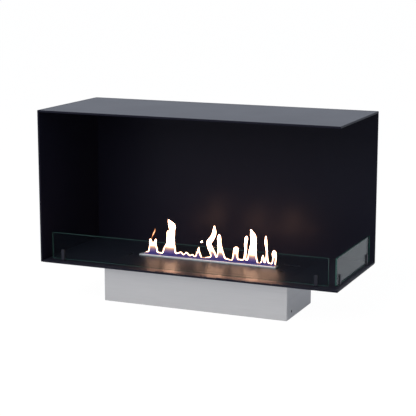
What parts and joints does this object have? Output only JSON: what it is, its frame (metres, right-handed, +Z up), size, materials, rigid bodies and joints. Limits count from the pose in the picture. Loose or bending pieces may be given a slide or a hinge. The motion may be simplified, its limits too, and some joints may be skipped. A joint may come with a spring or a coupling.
{
  "type": "bioethanol fireplace insert",
  "caption": "Corner fireplace insert: open black steel firebox with low glass guards and a burner unit with a long flame slot, hung in its floor.",
  "frame": {"origin": "centre of the burner housing's underside, midway along the casing's width and depth", "axes": "+X to the open right side, +Y to the back, +Z up"},
  "size_m": [1, 0.398, 0.622],
  "materials": {
    "black_steel": "black powder coat, fine texture, satin",
    "brushed_steel": "brushed along its length",
    "plain_steel": "mill finish",
    "black_oxide_steel": "black oxide, satin",
    "glass": "clear, green at the edges",
    "silicone": "matte",
    "ceramic": "matte fibre",
    "black_plastic": "moulded",
    "lens": "smoked, glossy",
    "circuit_board": "solder resist",
    "hose_rubber": "matte"
  },
  "bodies": {
    "casing": {"floor_panel": "black_steel", "top_panel": "black_steel", "left_panel": "black_steel", "back_panel": "black_steel", "burner_plate": "black_steel", "filler_well": "black_steel", "slot_rim": "brushed_steel", "housing_shell": "brushed_steel", "fuel_tank": "brushed_steel", "burner_trough": "plain_steel", "heat_shield": "plain_steel", "flame_sensor": "plain_steel", "filler_neck": "plain_steel", "hatch_pin": "plain_steel", "button_spring": "plain_steel", "board_tray": "plain_steel", "fuel_pump": "plain_steel", "pump_bracket": "plain_steel", "ceramic_wick": "ceramic", "igniter": "ceramic", "power_inlet": "black_plastic", "level_sensor": "black_plastic", "button_switch": "black_plastic", "status_lens": "lens", "control_board": "circuit_board", "suction_hose": "hose_rubber", "delivery_hose": "hose_rubber", "clip_front_left": "black_steel", "liner_front_left": "silicone", "clip_screw_front_left": "plain_steel", "clip_front_right": "black_steel", "liner_front_right": "silicone", "clip_screw_front_right": "plain_steel", "clip_side_front": "black_steel", "liner_side_front": "silicone", "clip_screw_side_front": "plain_steel", "clip_side_rear": "black_steel", "liner_side_rear": "silicone", "clip_screw_side_rear": "plain_steel", "plate_screw_front_left": "black_oxide_steel", "plate_screw_front_right": "black_oxide_steel", "plate_screw_rear_left": "black_oxide_steel", "plate_screw_rear_right": "black_oxide_steel", "wire_igniter": "hose_rubber", "wire_flame_sensor": "hose_rubber", "wire_switch": "hose_rubber", "wire_pump": "hose_rubber", "wire_inlet": "hose_rubber"},
    "front_glass": {"front_glass": "glass"},
    "side_glass": {"side_glass": "glass"},
    "hatch": {"filler_hatch": "black_steel"},
    "cap": {"filler_cap": "black_plastic", "cap_seal": "silicone"},
    "button": {"start_button": "black_oxide_steel"},
    "float": {"level_float": "black_plastic"}
  },
  "joints": [
    {"name": "front_glass_lift", "type": "slide", "parent": "casing", "child": "front_glass", "axis": [0, 0, 1], "range_m": [0, 0.12]},
    {"name": "side_glass_lift", "type": "slide", "parent": "casing", "child": "side_glass", "axis": [0, 0, 1], "range_m": [0, 0.12]},
    {"name": "hatch_hinge", "type": "hinge", "parent": "casing", "child": "hatch", "pos_m": [0.272, 0.04575, 0.136], "axis": [-1, 0, 0], "range_deg": [0, 105]},
    {"name": "cap_turn", "type": "hinge", "parent": "casing", "child": "cap", "pos_m": [0.272, 0, 0.119], "axis": [0, 0, 1], "range_deg": [0, 90]},
    {"name": "button_press", "type": "slide", "parent": "casing", "child": "button", "axis": [0, 0, -1], "range_m": [0, 0.0015], "stiffness_N_per_m": 400, "springref_m": -0.002, "deforming": ["button_spring"]},
    {"name": "float_rise", "type": "slide", "parent": "casing", "child": "float", "axis": [0, 0, 1], "range_m": [0, 0.045]}
  ]
}
